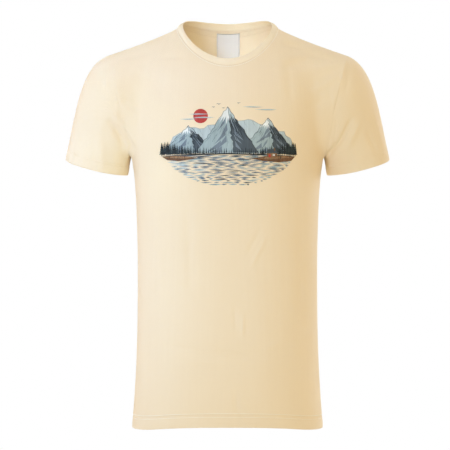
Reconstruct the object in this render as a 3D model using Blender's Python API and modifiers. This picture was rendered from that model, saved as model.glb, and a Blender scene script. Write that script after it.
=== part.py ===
# Crew-neck T-shirt, filled out as when it is worn. Metres, +Z up, and the wearer faces -Y, so +X is the wearer's left.
# The origin lies midway between the two high shoulder points, where the shirt hangs from its wearer.
import math

import bmesh
import bpy
import numpy as np

# Cloth thicknesses
JERSEY = 0.0008
RIB = 0.0018
TAPE = 0.0008
SEAM = 0.0016
LABEL = 0.0005
# Clearance between layers that lie on each other, and how far a cut edge stays back from its seam line
GAP = 0.0005
EDGE = 0.0006

# Body below the armholes, from the hem up: height, half width at the side seams, front depth, back depth
SECTIONS = (
    (-0.7125, 0.1685, 0.1180, 0.1120),
    (-0.660, 0.1645, 0.1170, 0.1095),
    (-0.600, 0.1612, 0.1155, 0.1055),
    (-0.540, 0.1594, 0.1150, 0.1010),
    (-0.480, 0.1588, 0.1160, 0.0980),
    (-0.420, 0.1588, 0.1195, 0.0975),
    (-0.360, 0.1600, 0.1255, 0.1000),
    (-0.300, 0.1625, 0.1320, 0.1050),
    (-0.262, 0.1655, 0.1360, 0.1090),
    (-0.236, 0.1685, 0.1380, 0.1120),
)
ROUNDNESS = 2.4
SIDE_CROWDING = 0.3
HEM_RISE = 0.008
HEM_RISE_HALF_WIDTH = 0.11

# Neck rings: half width, front depth, back depth, height at the sides, at the front and at the back
NECK_SEAM = (0.0880, 0.084, 0.084, -0.010, -0.083, -0.0078)
NECK_TOP = (0.0790, 0.075, 0.080, -0.0058, -0.071, 0.0053)
NECK_BOW = 0.0008

# Shoulder seam, from the neck seam's side to the tip
TIP_X, TIP_Z = 0.213, -0.0605
SHOULDER_DROOP = 0.85
# How widely the cloth rounds off the corner between the neck and a shoulder seam, and how far up it comes back to it
CORNER_SOFTNESS, CORNER_FROM = 0.13, 0.55

# How a column of cloth leaves the underarm ring and how it reaches the neck or the shoulder seam.
# Share across the panel, then the lower handle's x, y, z and the upper handle's x, y, z
FRONT_HANDLES = (
    (0.00, 0.000, 0.000, 0.055, 0.000, -0.027, -0.036),
    (0.25, 0.000, -0.001, 0.062, 0.016, -0.026, -0.034),
    (0.50, 0.000, -0.002, 0.075, 0.024, -0.046, -0.026),
    (0.75, 0.000, -0.006, 0.080, 0.004, -0.062, -0.016),
    (0.90, 0.000, -0.048, 0.045, -0.002, -0.076, -0.009),
    (1.00, 0.000, -0.092, 0.006, -0.006, -0.088, -0.004),
)
BACK_HANDLES = (
    (0.00, 0.000, 0.003, 0.075, 0.000, 0.020, -0.052),
    (0.25, 0.000, 0.003, 0.078, 0.010, 0.028, -0.046),
    (0.50, 0.000, 0.003, 0.085, 0.022, 0.046, -0.030),
    (0.75, 0.000, 0.005, 0.088, 0.004, 0.060, -0.018),
    (0.90, 0.000, 0.046, 0.048, -0.002, 0.073, -0.010),
    (1.00, 0.000, 0.086, 0.006, -0.006, 0.084, -0.004),
)

# Sleeve hem ring: centre, the vector to its outer point and the vector to its front point
SLEEVE_CENTRE = (0.2318, 0.000, -0.2578)
SLEEVE_OUTER = (0.0550, 0.000, 0.0144)
SLEEVE_FRONT = (0.0000, -0.054, -0.0080)
# The handle at the armhole and the handle at the hem, each x, y, z: at the outer side, the front and the underarm
SLEEVE_HANDLES = (
    (0.0480, 0.000, -0.020, -0.0190, 0.000, 0.085),
    (0.0200, -0.003, -0.034, -0.0120, -0.002, 0.045),
    (0.0015, 0.000, -0.012, -0.0030, 0.000, 0.012),
)

# Widths of what is sewn on or turned up
BODY_HEM = 0.022
SLEEVE_HEM = 0.020
SIDE_SEAM_WIDTH = 0.007
ARMHOLE_SEAM_WIDTH, ARMHOLE_SEAM_EDGE = 0.007, 0.0015
SHOULDER_TAPE_WIDTH, SHOULDER_TAPE_EDGE = 0.009, 0.002
NECK_TAPE_WIDTH, NECK_TAPE_EDGE = 0.010, 0.002
LABEL_WIDTH, LABEL_HEIGHT, LABEL_TOP = 0.041, 0.055, 0.0045
CARE_WIDTH, CARE_HEIGHT, CARE_BOTTOM = 0.020, 0.048, 0.070

# Mesh counts: columns across half a panel, rows from underarm to shoulder, rows down a sleeve.
# The neck takes its share of a panel's columns, and the shoulder seams the rest
HALF_COLUMNS = 16
ARMHOLE_ROWS = 10
SLEEVE_ROWS = 8
NECK_SHARE = 0.5
NECK_COLUMNS = round(4 * HALF_COLUMNS * NECK_SHARE)

# Name: colour, roughness
MATERIALS = {
    "jersey": ((0.86, 0.74, 0.55, 1.0), 0.92),
    "rib": ((0.87, 0.75, 0.56, 1.0), 0.90),
    "tape": ((0.84, 0.72, 0.53, 1.0), 0.92),
    "label": ((0.82, 0.79, 0.74, 1.0), 0.55),
}


def bezier(start, start_handle, end_handle, end, count):
    t = np.linspace(0, 1, count)[:, None]
    return (
        (1 - t) ** 3 * start
        + 3 * t * (1 - t) ** 2 * (start + start_handle)
        + 3 * t**2 * (1 - t) * (end + end_handle)
        + t**3 * end
    )


def from_table(table, at, signs):
    # A smooth curve through the table's rows. Below zero the table is mirrored, each column with its own sign
    rows = np.array(table)
    places = np.concatenate(((-rows[1, 0],), rows[:, 0]))
    values = np.vstack((rows[1, 1:] * signs, rows[:, 1:]))
    slopes = np.gradient(values, places, axis=0)
    low = min(int(np.searchsorted(places, at, side="right")) - 1, len(places) - 2)
    step = places[low + 1] - places[low]
    t = (at - places[low]) / step
    return (
        (2 * t**3 - 3 * t**2 + 1) * values[low]
        + (t**3 - 2 * t**2 + t) * step * slopes[low]
        + (3 * t**2 - 2 * t**3) * values[low + 1]
        + (t**3 - t**2) * step * slopes[low + 1]
    )


def neck_point(ring, angle):
    half_width, front, back, side_z, front_z, back_z = ring
    mean = (front_z + back_z) / 2
    twice = (mean - side_z) / 2
    z = (mean + side_z) / 2 + (front_z - back_z) / 2 * math.cos(angle) + twice * math.cos(2 * angle)
    y = -(front if math.cos(angle) > 0 else back) * math.cos(angle)
    return np.array((half_width * math.sin(angle), y, z))


def top_point(share, facing):
    # The neck seam in the middle of the panel and a shoulder seam on each side of it
    if abs(share) <= NECK_SHARE:
        angle = math.pi / 2 * share / NECK_SHARE
        return neck_point(NECK_SEAM, angle if facing < 0 else math.pi - angle)
    along = (abs(share) - NECK_SHARE) / (1 - NECK_SHARE)
    neck_x, neck_z = NECK_SEAM[0], NECK_SEAM[3]
    x = neck_x + along * (TIP_X - neck_x)
    return np.array((math.copysign(x, share), 0, neck_z + (TIP_Z - neck_z) * along**SHOULDER_DROOP))


def section_point(section, share, facing):
    height, half_width, front, back = section
    angle = math.pi / 2 * share * abs(share) ** SIDE_CROWDING
    power = 2 / ROUNDNESS
    x = half_width * math.copysign(abs(math.sin(angle)) ** power, share)
    depth = front if facing < 0 else back
    return np.array((x, facing * depth * abs(math.cos(angle)) ** power, height))


def softened(line, shares):
    # The line with its corners rounded off. Its ends stay where they are
    weights = np.exp(-(((shares[:, None] - shares[None, :]) / CORNER_SOFTNESS) ** 2))
    blurred = weights @ line / weights.sum(axis=1, keepdims=True)
    room = np.minimum(1, (1 - np.abs(shares)) / CORNER_SOFTNESS)[:, None]
    return line + (blurred - line) * room


def panel(facing):
    # Points of the front (facing -1) or the back (facing 1), row by row from the hem up
    shares = np.linspace(-1, 1, 2 * HALF_COLUMNS + 1)[:: -facing]
    top = np.array([top_point(share, facing) for share in shares])
    rows = np.linspace(0, 1, ARMHOLE_ROWS + 1)[:, None]
    late = np.clip((rows - CORNER_FROM) / (1 - CORNER_FROM), 0, 1) ** 2
    columns = []
    for share, end, soft_end in zip(shares, top, softened(top, shares)):
        lower = np.array([section_point(section, share, facing) for section in SECTIONS])
        if facing < 0:
            lower[0, 2] += HEM_RISE * max(0, 1 - (lower[0, 0] / HEM_RISE_HALF_WIDTH) ** 2) ** 2
        handles = from_table(FRONT_HANDLES if facing < 0 else BACK_HANDLES, abs(share), (-1, 1, 1, -1, 1, 1))
        handles[[0, 3]] *= np.sign(share)
        upper = bezier(lower[-1], handles[:3], handles[3:], soft_end, len(rows)) + late * (end - soft_end)
        columns.append(np.vstack((lower, upper[1:])))
    return np.array(columns).transpose(1, 0, 2)


def sleeve(front, back):
    # The wearer's left sleeve, row by row from the armhole of the two panels down
    first = len(SECTIONS) - 1
    armhole = np.vstack((front[first:, -1][::-1], back[first + 1 :, 0]))
    centre, outer, fore = (np.array(v) for v in (SLEEVE_CENTRE, SLEEVE_OUTER, SLEEVE_FRONT))
    at_outer, at_front, at_underarm = (np.array(row) for row in SLEEVE_HANDLES)
    mean = (at_outer + 2 * at_front + at_underarm) / 4
    once, twice = (at_outer - at_underarm) / 2, (at_outer - 2 * at_front + at_underarm) / 4
    columns = []
    for start, angle in zip(armhole, np.linspace(0, 2 * math.pi, len(armhole))):
        end = centre + outer * math.cos(angle) + fore * math.sin(angle)
        handles = mean + once * math.cos(angle) + twice * math.cos(2 * angle)
        handles[[1, 4]] = at_front[[1, 4]] * math.sin(angle)
        columns.append(bezier(start, handles[:3], handles[3:], end, SLEEVE_ROWS + 1))
    return np.array(columns).transpose(1, 0, 2)


def neckband():
    columns = []
    for angle in np.linspace(0, 2 * math.pi, NECK_COLUMNS + 1):
        seam, top = neck_point(NECK_SEAM, angle), neck_point(NECK_TOP, angle)
        out = np.array((math.sin(angle), -math.cos(angle), 0)) * NECK_BOW
        columns.append((seam, (seam + top) / 2 + out, top))
    return np.array(columns).transpose(1, 0, 2)


def mirrored(points):
    return points[:, ::-1] * np.array((-1, 1, 1))


def pulled_in(points, rims):
    # Moves the named rims back from their seam lines, towards their neighbours
    points = points.copy()
    slices = {
        "bottom": (points[0], points[1]),
        "top": (points[-1], points[-2]),
        "first": (points[:, 0], points[:, 1]),
        "last": (points[:, -1], points[:, -2]),
    }
    for rim in rims:
        edge, inner = slices[rim]
        step = inner - edge
        edge += EDGE * step / np.linalg.norm(step, axis=1, keepdims=True)
    return points


def sampled(grid, rows, columns):
    # The grid's surface at fractional rows and columns
    rows, columns = np.atleast_1d(rows), np.atleast_1d(columns)
    r = np.minimum(rows.astype(int), grid.shape[0] - 2)
    c = np.minimum(columns.astype(int), grid.shape[1] - 2)
    fr, fc = (rows - r)[:, None, None], (columns - c)[None, :, None]
    low = grid[r][:, c] * (1 - fc) + grid[r][:, c + 1] * fc
    high = grid[r + 1][:, c] * (1 - fc) + grid[r + 1][:, c + 1] * fc
    return low * (1 - fr) + high * fr


def inside(grid, depth, closed=False):
    # The whole grid moved towards the wearer. A closed grid's first and last columns are the same
    down = np.gradient(grid, axis=0)
    wide = np.concatenate((grid[:, -2:-1], grid, grid[:, 1:2]), axis=1) if closed else grid
    across = np.gradient(wide, axis=1)
    if closed:
        across = across[:, 1:-1]
    normal = np.cross(across, down)
    return grid - depth * normal / np.linalg.norm(normal, axis=2, keepdims=True)


def row_share(grid, row, column, length):
    # How much of the step from a row to the next one that length is
    return length / np.linalg.norm(grid[row + 1, column] - grid[row, column])


def column_share(grid, row, column, length):
    return length / np.linalg.norm(grid[row, column + 1] - grid[row, column])


def material(name):
    found = bpy.data.materials.get(name)
    if found:
        return found
    colour, roughness = MATERIALS[name]
    made = bpy.data.materials.new(name)
    made.use_nodes = True
    shader = made.node_tree.nodes["Principled BSDF"]
    shader.inputs["Base Color"].default_value = colour
    shader.inputs["Roughness"].default_value = roughness
    shader.inputs["Metallic"].default_value = 0.0
    return made


def cloth(name, points, thickness, cloth_material, closed=False):
    # A sheet laid through the points, with its thickness on the wearer's side
    rows, columns = points.shape[:2]
    mesh = bpy.data.meshes.new(name)
    bm = bmesh.new()
    bmesh.ops.create_grid(bm, x_segments=columns - 1, y_segments=rows - 1, size=1)
    for vertex in bm.verts:
        column = round((vertex.co.x + 1) / 2 * (columns - 1))
        row = round((vertex.co.y + 1) / 2 * (rows - 1))
        vertex.co = points[row, column]
    if closed:
        bmesh.ops.remove_doubles(bm, verts=bm.verts, dist=1e-6)
    bm.to_mesh(mesh)
    bm.free()
    mesh.shade_smooth()
    mesh.materials.append(material(cloth_material))
    made = bpy.data.objects.new(name, mesh)
    shirt.objects.link(made)
    shell = made.modifiers.new("thickness", "SOLIDIFY")
    shell.thickness = thickness
    shell.offset = -1
    shell.use_even_offset = True
    made.parent = hanger
    return made


def make_body(front, back):
    cloth("front_panel", pulled_in(front, ("top", "first", "last")), JERSEY, "jersey")
    cloth("back_panel", pulled_in(back, ("top", "first", "last")), JERSEY, "jersey")
    for name, grid in (("hem_front", front), ("hem_back", back)):
        rows = (0, row_share(grid, 0, HALF_COLUMNS, BODY_HEM))
        band = sampled(inside(grid, JERSEY + GAP), rows, np.arange(grid.shape[1]))
        cloth(name, pulled_in(band, ("first", "last")), JERSEY, "jersey")


def make_side_seams(back):
    # Overlocked allowances, turned towards the back panel, from the hem to the underarm
    first = row_share(back, 0, 0, BODY_HEM + 2 * GAP)
    underarm = len(SECTIONS) - 1
    rows = np.concatenate(((first,), np.arange(1, underarm), (underarm - 0.1,)))
    strip = sampled(inside(back, JERSEY + GAP), rows, (0.01, column_share(back, 4, 0, SIDE_SEAM_WIDTH)))
    cloth("side_seam_left", strip, SEAM, "jersey")
    cloth("side_seam_right", mirrored(strip), SEAM, "jersey")


def make_shoulder_tapes(back):
    # The first columns of the back panel are the wearer's left shoulder
    last = back.shape[0] - 1
    neck_column = round(HALF_COLUMNS * (1 - NECK_SHARE))
    columns = np.linspace(0.1, neck_column - 0.1, neck_column + 1)
    per_metre = row_share(back, last - 1, neck_column // 2, 1.0)
    rows = last - np.array((SHOULDER_TAPE_EDGE + SHOULDER_TAPE_WIDTH, SHOULDER_TAPE_EDGE)) * per_metre
    strip = sampled(inside(back, JERSEY + GAP), rows, columns)
    cloth("shoulder_tape_left", strip, TAPE, "tape")
    cloth("shoulder_tape_right", mirrored(strip), TAPE, "tape")


def make_neck(back):
    cloth("neckband", pulled_in(neckband(), ("bottom",)), RIB, "rib", closed=True)
    last = back.shape[0] - 1
    per_metre = row_share(back, last - 1, HALF_COLUMNS, 1.0)
    reach = round(HALF_COLUMNS * NECK_SHARE) - 1
    columns = np.arange(HALF_COLUMNS - reach, HALF_COLUMNS + reach + 1)
    rows = last - np.array((NECK_TAPE_EDGE + NECK_TAPE_WIDTH, NECK_TAPE_EDGE)) * per_metre
    cloth("neck_tape", sampled(inside(back, JERSEY + 1.4 * GAP), rows, columns), TAPE, "tape")

    half = column_share(back, last - 1, HALF_COLUMNS, LABEL_WIDTH / 2)
    rows = np.linspace(last - (LABEL_TOP + LABEL_HEIGHT) * per_metre, last - LABEL_TOP * per_metre, 6)
    columns = np.linspace(HALF_COLUMNS - half, HALF_COLUMNS + half, 7)
    label = sampled(inside(back, JERSEY + TAPE + 2.4 * GAP), rows, columns)
    cloth("neck_label", label, LABEL, "label")


def make_care_label(front):
    # Sewn into the wearer's left side seam, above the hem, and lying against the front panel
    last = front.shape[1] - 1
    bottom = row_share(front, 0, last, CARE_BOTTOM)
    rows = np.array((bottom, bottom + row_share(front, 1, last, CARE_HEIGHT)))
    columns = np.array((last - column_share(front, 1, last - 1, CARE_WIDTH), last - 0.02))
    cloth("care_label", sampled(inside(front, JERSEY + GAP), rows, columns), LABEL, "label")


def make_sleeve(side, grid):
    cloth("sleeve_" + side, pulled_in(grid, ("bottom",)), JERSEY, "jersey", closed=True)
    columns = np.arange(grid.shape[1])
    inner = inside(grid, JERSEY + GAP, closed=True)
    seam = sampled(inner, row_share(grid, 0, 0, 1.0) * np.array((ARMHOLE_SEAM_EDGE, ARMHOLE_SEAM_WIDTH)), columns)
    cloth("armhole_seam_" + side, seam, SEAM, "jersey", closed=True)
    last = grid.shape[0] - 1
    band = sampled(inner, np.array((last - row_share(grid, last - 1, 0, SLEEVE_HEM), last)), columns)
    cloth("sleeve_hem_" + side, band, JERSEY, "jersey", closed=True)


for old in list(bpy.data.objects):
    bpy.data.objects.remove(old)
shirt = bpy.data.collections.new("t_shirt")
bpy.context.scene.collection.children.link(shirt)
hanger = bpy.data.objects.new("shoulder_line", None)
shirt.objects.link(hanger)

front_points, back_points = panel(-1), panel(1)
left_sleeve = sleeve(front_points, back_points)
make_body(front_points, back_points)
make_side_seams(back_points)
make_shoulder_tapes(back_points)
make_neck(back_points)
make_care_label(front_points)
make_sleeve("left", left_sleeve)
make_sleeve("right", mirrored(left_sleeve))
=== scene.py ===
import math
import random

import bpy
import numpy as np
from mathutils import Matrix, Vector
from mathutils.bvhtree import BVHTree
from mathutils.geometry import tessellate_polygon


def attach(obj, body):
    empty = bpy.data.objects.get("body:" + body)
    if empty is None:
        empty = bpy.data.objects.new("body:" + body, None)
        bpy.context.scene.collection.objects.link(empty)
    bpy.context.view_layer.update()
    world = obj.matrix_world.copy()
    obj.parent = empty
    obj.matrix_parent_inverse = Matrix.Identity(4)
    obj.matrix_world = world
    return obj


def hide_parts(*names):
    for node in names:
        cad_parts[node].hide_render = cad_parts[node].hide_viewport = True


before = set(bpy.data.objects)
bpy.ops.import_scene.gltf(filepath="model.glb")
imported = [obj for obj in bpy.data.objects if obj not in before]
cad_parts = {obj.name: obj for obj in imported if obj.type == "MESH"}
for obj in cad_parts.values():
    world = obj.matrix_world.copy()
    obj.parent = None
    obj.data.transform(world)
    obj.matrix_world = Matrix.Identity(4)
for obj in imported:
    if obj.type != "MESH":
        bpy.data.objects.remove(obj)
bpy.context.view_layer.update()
print("frame loaded:", len(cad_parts), "nodes")


def makeActive(piece):
    bpy.ops.object.select_all(action="DESELECT")
    piece.select_set(True)
    bpy.context.view_layer.objects.active = piece


def newPiece(name, vertices, faces):
    mesh = bpy.data.meshes.new(name)
    mesh.from_pydata(vertices, [], faces)
    piece = bpy.data.objects.new(name, mesh)
    bpy.context.scene.collection.objects.link(piece)
    return piece


def faceOutwards(piece):
    makeActive(piece)
    bpy.ops.object.mode_set(mode="EDIT")
    bpy.ops.mesh.select_all(action="SELECT")
    bpy.ops.mesh.normals_make_consistent(inside=False)
    bpy.ops.object.mode_set(mode="OBJECT")


def applyAll(piece):
    makeActive(piece)
    for modifier in list(piece.modifiers):
        bpy.ops.object.modifier_apply(modifier=modifier.name)


def smoothTable(table, at, parity=None):
    # a smooth curve through the rows of a table whose first column is the place; parity mirrors it about zero
    rows = np.array(table, float)
    places, values = rows[:, 0], rows[:, 1:]
    if parity is not None:
        places = np.concatenate(([-places[1]], places))
        values = np.vstack((values[1] * np.array(parity), values))
    slopes = np.gradient(values, places, axis=0)
    at = np.clip(at, places[0], places[-1])
    k = np.clip(np.searchsorted(places, at, side="right") - 1, 0, len(places) - 2)
    step = (places[k + 1] - places[k])[:, None]
    t = ((at - places[k]) / step[:, 0])[:, None]
    return (
        (2 * t**3 - 3 * t**2 + 1) * values[k]
        + (t**3 - 2 * t**2 + t) * step * slopes[k]
        + (3 * t**2 - 2 * t**3) * values[k + 1]
        + (t**3 - t**2) * step * slopes[k + 1]
    )


def bezier(start, startHandle, endHandle, end, t):
    t = t[:, None, None]
    return (
        (1 - t) ** 3 * start
        + 3 * t * (1 - t) ** 2 * (start + startHandle)
        + 3 * t**2 * (1 - t) * (end + endHandle)
        + t**3 * end
    )


def unit(vectors):
    return vectors / np.maximum(np.linalg.norm(vectors, axis=-1, keepdims=True), 1e-12)


def outward(points, closed=False):
    # unit normals of a grid: across the columns, then down the rows
    rowStep = np.gradient(points, axis=0)
    if closed:
        wide = np.concatenate((points[:, -2:-1], points, points[:, 1:2]), axis=1)
        columnStep = np.gradient(wide, axis=1)[:, 1:-1]
    else:
        columnStep = np.gradient(points, axis=1)
    return unit(np.cross(columnStep, rowStep))


def runLength(points, axis):
    # distance run along the rows or the columns of a grid
    steps = np.linalg.norm(np.diff(points, axis=axis), axis=-1)
    lead = [(0, 0), (0, 0)]
    lead[axis] = (1, 0)
    return np.pad(np.cumsum(steps, axis=axis), lead)


def alongLine(places, run, line):
    return np.stack([np.interp(places, run, line[:, axis]) for axis in range(3)], axis=-1)


def resample(points, near, far, spacing):
    # rows at set distances from the first row and from the last one, and evenly spaced between them
    run = runLength(points, 0)
    total = run[-1]
    middleCount = int(np.ceil((total.max() - near[-1] - far[0]) / spacing))
    shares = np.linspace(0, 1, middleCount + 1)[1:-1]
    made = np.empty((len(near) + len(shares) + len(far),) + points.shape[1:])
    for column in range(points.shape[1]):
        whole = total[column]
        between = near[-1] + shares * (whole - near[-1] - far[0])
        at = np.concatenate((near, between, whole - np.array(far)))
        made[:, column] = alongLine(at, run[:, column], points[:, column])
    return made


def rowAt(points, distance):
    # the line across a grid at a distance from its first row
    runs = runLength(points, 0).T
    return np.array([alongLine(distance, run, column) for run, column in zip(runs, points.swapaxes(0, 1))])


def clothPiece(name, points, uv, thickness, material, closed=False, offset=0.0):
    # a grid of points made into cloth of a real thickness, with its UV map in metres
    rows, columns = points.shape[:2]
    kept = columns - 1 if closed else columns
    r, c = np.meshgrid(np.arange(rows - 1), np.arange(columns - 1), indexing="ij")
    r, c = r.ravel(), c.ravel()
    corners = ((r, c), (r, c + 1), (r + 1, c + 1), (r + 1, c))
    faces = np.stack([row * kept + column % kept for row, column in corners], axis=1)
    loopUv = np.stack([uv[row, column] for row, column in corners], axis=1)
    piece = newPiece(name, points[:, :kept].reshape(-1, 3).tolist(), faces.tolist())
    piece.data.uv_layers.new(name="cloth").data.foreach_set("uv", loopUv.astype(np.float32).ravel())
    piece.data.shade_smooth()
    piece.data.materials.append(material)
    shell = piece.modifiers.new("thickness", "SOLIDIFY")
    shell.thickness = thickness
    shell.offset = offset
    shell.use_even_offset = False
    applyAll(piece)
    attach(piece, "root")
    return piece


def metreUv(points, centreColumn):
    # U runs across from the centre column and V up from the first row, both along the cloth
    across = runLength(points, 1)
    across = across - across[:, centreColumn : centreColumn + 1]
    return np.stack((across, runLength(points, 0)), axis=-1)


# node groups and materials
def nodeGroup(name, numbers, output):
    # a group that takes a Vector and some numbers, and puts out one value
    group = bpy.data.node_groups.new(name, "ShaderNodeTree")
    group.interface.new_socket("Vector", in_out="INPUT", socket_type="NodeSocketVector")
    for label, value in numbers.items():
        group.interface.new_socket(label, in_out="INPUT", socket_type="NodeSocketFloat").default_value = value
    group.interface.new_socket(output, in_out="OUTPUT", socket_type="NodeSocketFloat")
    return group, group.nodes.new("NodeGroupInput"), group.nodes.new("NodeGroupOutput")


def feed(tree, node, inputs):
    # each input gets a value, or a link from the socket that feeds it
    for key, value in inputs.items():
        if isinstance(value, bpy.types.NodeSocket):
            tree.links.new(value, node.inputs[key])
        else:
            node.inputs[key].default_value = value


def addNode(tree, kind, inputs, **settings):
    node = tree.nodes.new("ShaderNode" + kind)
    for name, value in settings.items():
        setattr(node, name, value)
    feed(tree, node, inputs)
    return node


def mathNode(tree, operation, *values, clamp=False):
    return addNode(tree, "Math", dict(enumerate(values)), operation=operation, use_clamp=clamp).outputs[0]


def mixColours(tree, share, first, second, blend="MIX"):
    # a Mix node's factor and colours are its inputs 0, 6 and 7, and its colour is output 2
    inputs = {0: share, 6: first, 7: second}
    return addNode(tree, "Mix", inputs, data_type="RGBA", blend_type=blend).outputs[2]


def noiseNode(tree, vector, scale, detail, roughness=0.5):
    inputs = {"Vector": vector, "Scale": scale, "Detail": detail, "Roughness": roughness}
    return addNode(tree, "TexNoise", inputs).outputs["Fac"]


def makeKnitGroup():
    # rows of V-shaped loops; Wale is the width of one and Course its height, in metres
    tree, given, out = nodeGroup("knitLoops", {"Wale": 0.0009, "Course": 0.0007}, "Height")
    split = addNode(tree, "SeparateXYZ", {0: given.outputs["Vector"]})
    across = mathNode(tree, "DIVIDE", split.outputs[0], given.outputs["Wale"])
    up = mathNode(tree, "DIVIDE", split.outputs[1], given.outputs["Course"])
    side = mathNode(tree, "ABSOLUTE", mathNode(tree, "SUBTRACT", mathNode(tree, "FRACT", across), 0.5))
    leg = mathNode(tree, "FRACT", mathNode(tree, "ADD", up, mathNode(tree, "MULTIPLY", side, 1.5)))
    loop = mathNode(tree, "SINE", mathNode(tree, "MULTIPLY", leg, math.pi))
    column = mathNode(tree, "SINE", mathNode(tree, "MULTIPLY", side, 2 * math.pi))
    raised = mathNode(tree, "ADD", mathNode(tree, "MULTIPLY", loop, 0.6), 0.4)
    feed(tree, out, {"Height": mathNode(tree, "MULTIPLY", raised, column)})
    return tree


def makeYarnGroup():
    # uneven yarn: long thin streaks along the wales, and broad clouds where the cloth was pressed
    tree, given, out = nodeGroup("unevenYarn", {"Streaks": 0.5, "Clouds": 0.5}, "Shade")
    vector = given.outputs["Vector"]
    streaks = []
    for scale, detail in (((700, 9, 1), 2.0), ((130, 4, 1), 3.0)):
        drawn = addNode(tree, "Mapping", {"Vector": vector, "Scale": scale}).outputs[0]
        streaks.append(mathNode(tree, "MULTIPLY", noiseNode(tree, drawn, 1.0, detail), 0.5))
    streak = mathNode(tree, "SUBTRACT", mathNode(tree, "ADD", *streaks), 0.5)
    streak = mathNode(tree, "MULTIPLY", streak, given.outputs["Streaks"])
    cloud = mathNode(tree, "SUBTRACT", noiseNode(tree, vector, 14.0, 4.0, 0.6), 0.5)
    cloud = mathNode(tree, "MULTIPLY", cloud, given.outputs["Clouds"])
    feed(tree, out, {"Shade": mathNode(tree, "ADD", mathNode(tree, "ADD", streak, cloud), 0.5, clamp=True)})
    return tree


knitLoops = makeKnitGroup()
unevenYarn = makeYarnGroup()


def knitMaterial(name, look, coordinates="UV"):
    made = bpy.data.materials.new(name)
    made.use_nodes = True
    tree = made.node_tree
    place = addNode(tree, "TexCoord", {}).outputs[coordinates]
    if coordinates == "Object":
        # seen from the front: across is X and up is Z
        place = addNode(tree, "Mapping", {"Vector": place, "Rotation": (-math.pi / 2, 0, 0)}).outputs[0]
    yarn = {"Vector": place, "Streaks": look["streaks"], "Clouds": look["clouds"]}
    shade = addNode(tree, "Group", yarn, node_tree=unevenYarn).outputs["Shade"]
    loops = {"Vector": place, "Wale": look["wale"], "Course": look["course"]}
    height = addNode(tree, "Group", loops, node_tree=knitLoops).outputs["Height"]
    colour = mixColours(tree, shade, (*look["dark"], 1), (*look["light"], 1))
    # painted shade and highlight: the base colour is darker in the hollows between the knit's loops and lighter
    # on their raised tops
    grooveShade = mathNode(tree, "ADD", mathNode(tree, "MULTIPLY", height, look["grooveShade"]), 1 - look["grooveShade"] / 2)
    bump = {"Strength": look["bump"], "Distance": look["depth"], "Height": height}
    rough = mathNode(tree, "ADD", mathNode(tree, "MULTIPLY", shade, -0.1), look["roughness"] + 0.05)
    finish = {
        "Base Color": mixColours(tree, 1.0, colour, grooveShade, "MULTIPLY"),
        "Roughness": rough,
        "Normal": addNode(tree, "Bump", bump).outputs[0],
        "Specular IOR Level": look["specular"],
        "Sheen Weight": look["sheen"],
        "Sheen Roughness": 0.5,
    }
    feed(tree, tree.nodes["Principled BSDF"], finish)
    return made


jerseyLook = {
    "light": (0.905, 0.765, 0.545),
    "dark": (0.865, 0.715, 0.495),
    "wale": 0.00095,
    "course": 0.00075,
    # how strongly painted shade darkens the knit's hollows and painted highlight lightens its loops
    "grooveShade": 0.10,
    "streaks": 0.8,
    "clouds": 0.5,
    "roughness": 0.88,
    "bump": 0.35,
    "depth": 0.00025,
    "specular": 0.25,
    "sheen": 0.06,
}


def lookLike(look, light, dark, **changed):
    return dict(look, light=light, dark=dark, **changed)


# what differs from the jersey
ribSize = {"wale": 0.0016, "course": 0.0009, "grooveShade": 0.08, "bump": 0.4, "depth": 0.0004}
tapeSize = {"wale": 0.0007, "course": 0.0011, "grooveShade": 0.14}
threadSize = {"wale": 0.0004, "course": 0.0006, "grooveShade": 0.2}
satinSize = {
    "wale": 0.0006,
    "course": 0.0004,
    "grooveShade": 0.08,
    "streaks": 0.6,
    "roughness": 0.5,
    "bump": 0.2,
    "depth": 0.0001,
    "specular": 0.4,
}
ribLook = lookLike(jerseyLook, (0.945, 0.825, 0.605), (0.915, 0.78, 0.56), **ribSize)
tapeLook = lookLike(jerseyLook, (0.88, 0.735, 0.515), (0.83, 0.68, 0.46), **tapeSize)
# the sewing thread is lighter than the cloth, partly its own colour and partly a painted highlight along the
# hem's stitch rows
threadLook = lookLike(jerseyLook, (0.97, 0.92, 0.80), (0.95, 0.88, 0.74), **threadSize)
creamLook = lookLike(threadLook, (0.915, 0.785, 0.575), (0.885, 0.745, 0.53))
darkLook = lookLike(threadLook, (0.36, 0.29, 0.25), (0.25, 0.19, 0.16))
satinLook = lookLike(jerseyLook, (0.79, 0.76, 0.71), (0.73, 0.69, 0.63), **satinSize)
jersey = knitMaterial("creamJersey", jerseyLook)
rib = knitMaterial("creamRib", ribLook)
tapeCloth = knitMaterial("creamTape", tapeLook)
satin = knitMaterial("labelSatin", satinLook)
thread, creamThread, labelThread = (
    knitMaterial(name, look, coordinates="Object")
    for name, look in (("sewingThread", threadLook), ("creamThread", creamLook), ("labelThread", darkLook))
)
print("materials made")


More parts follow.
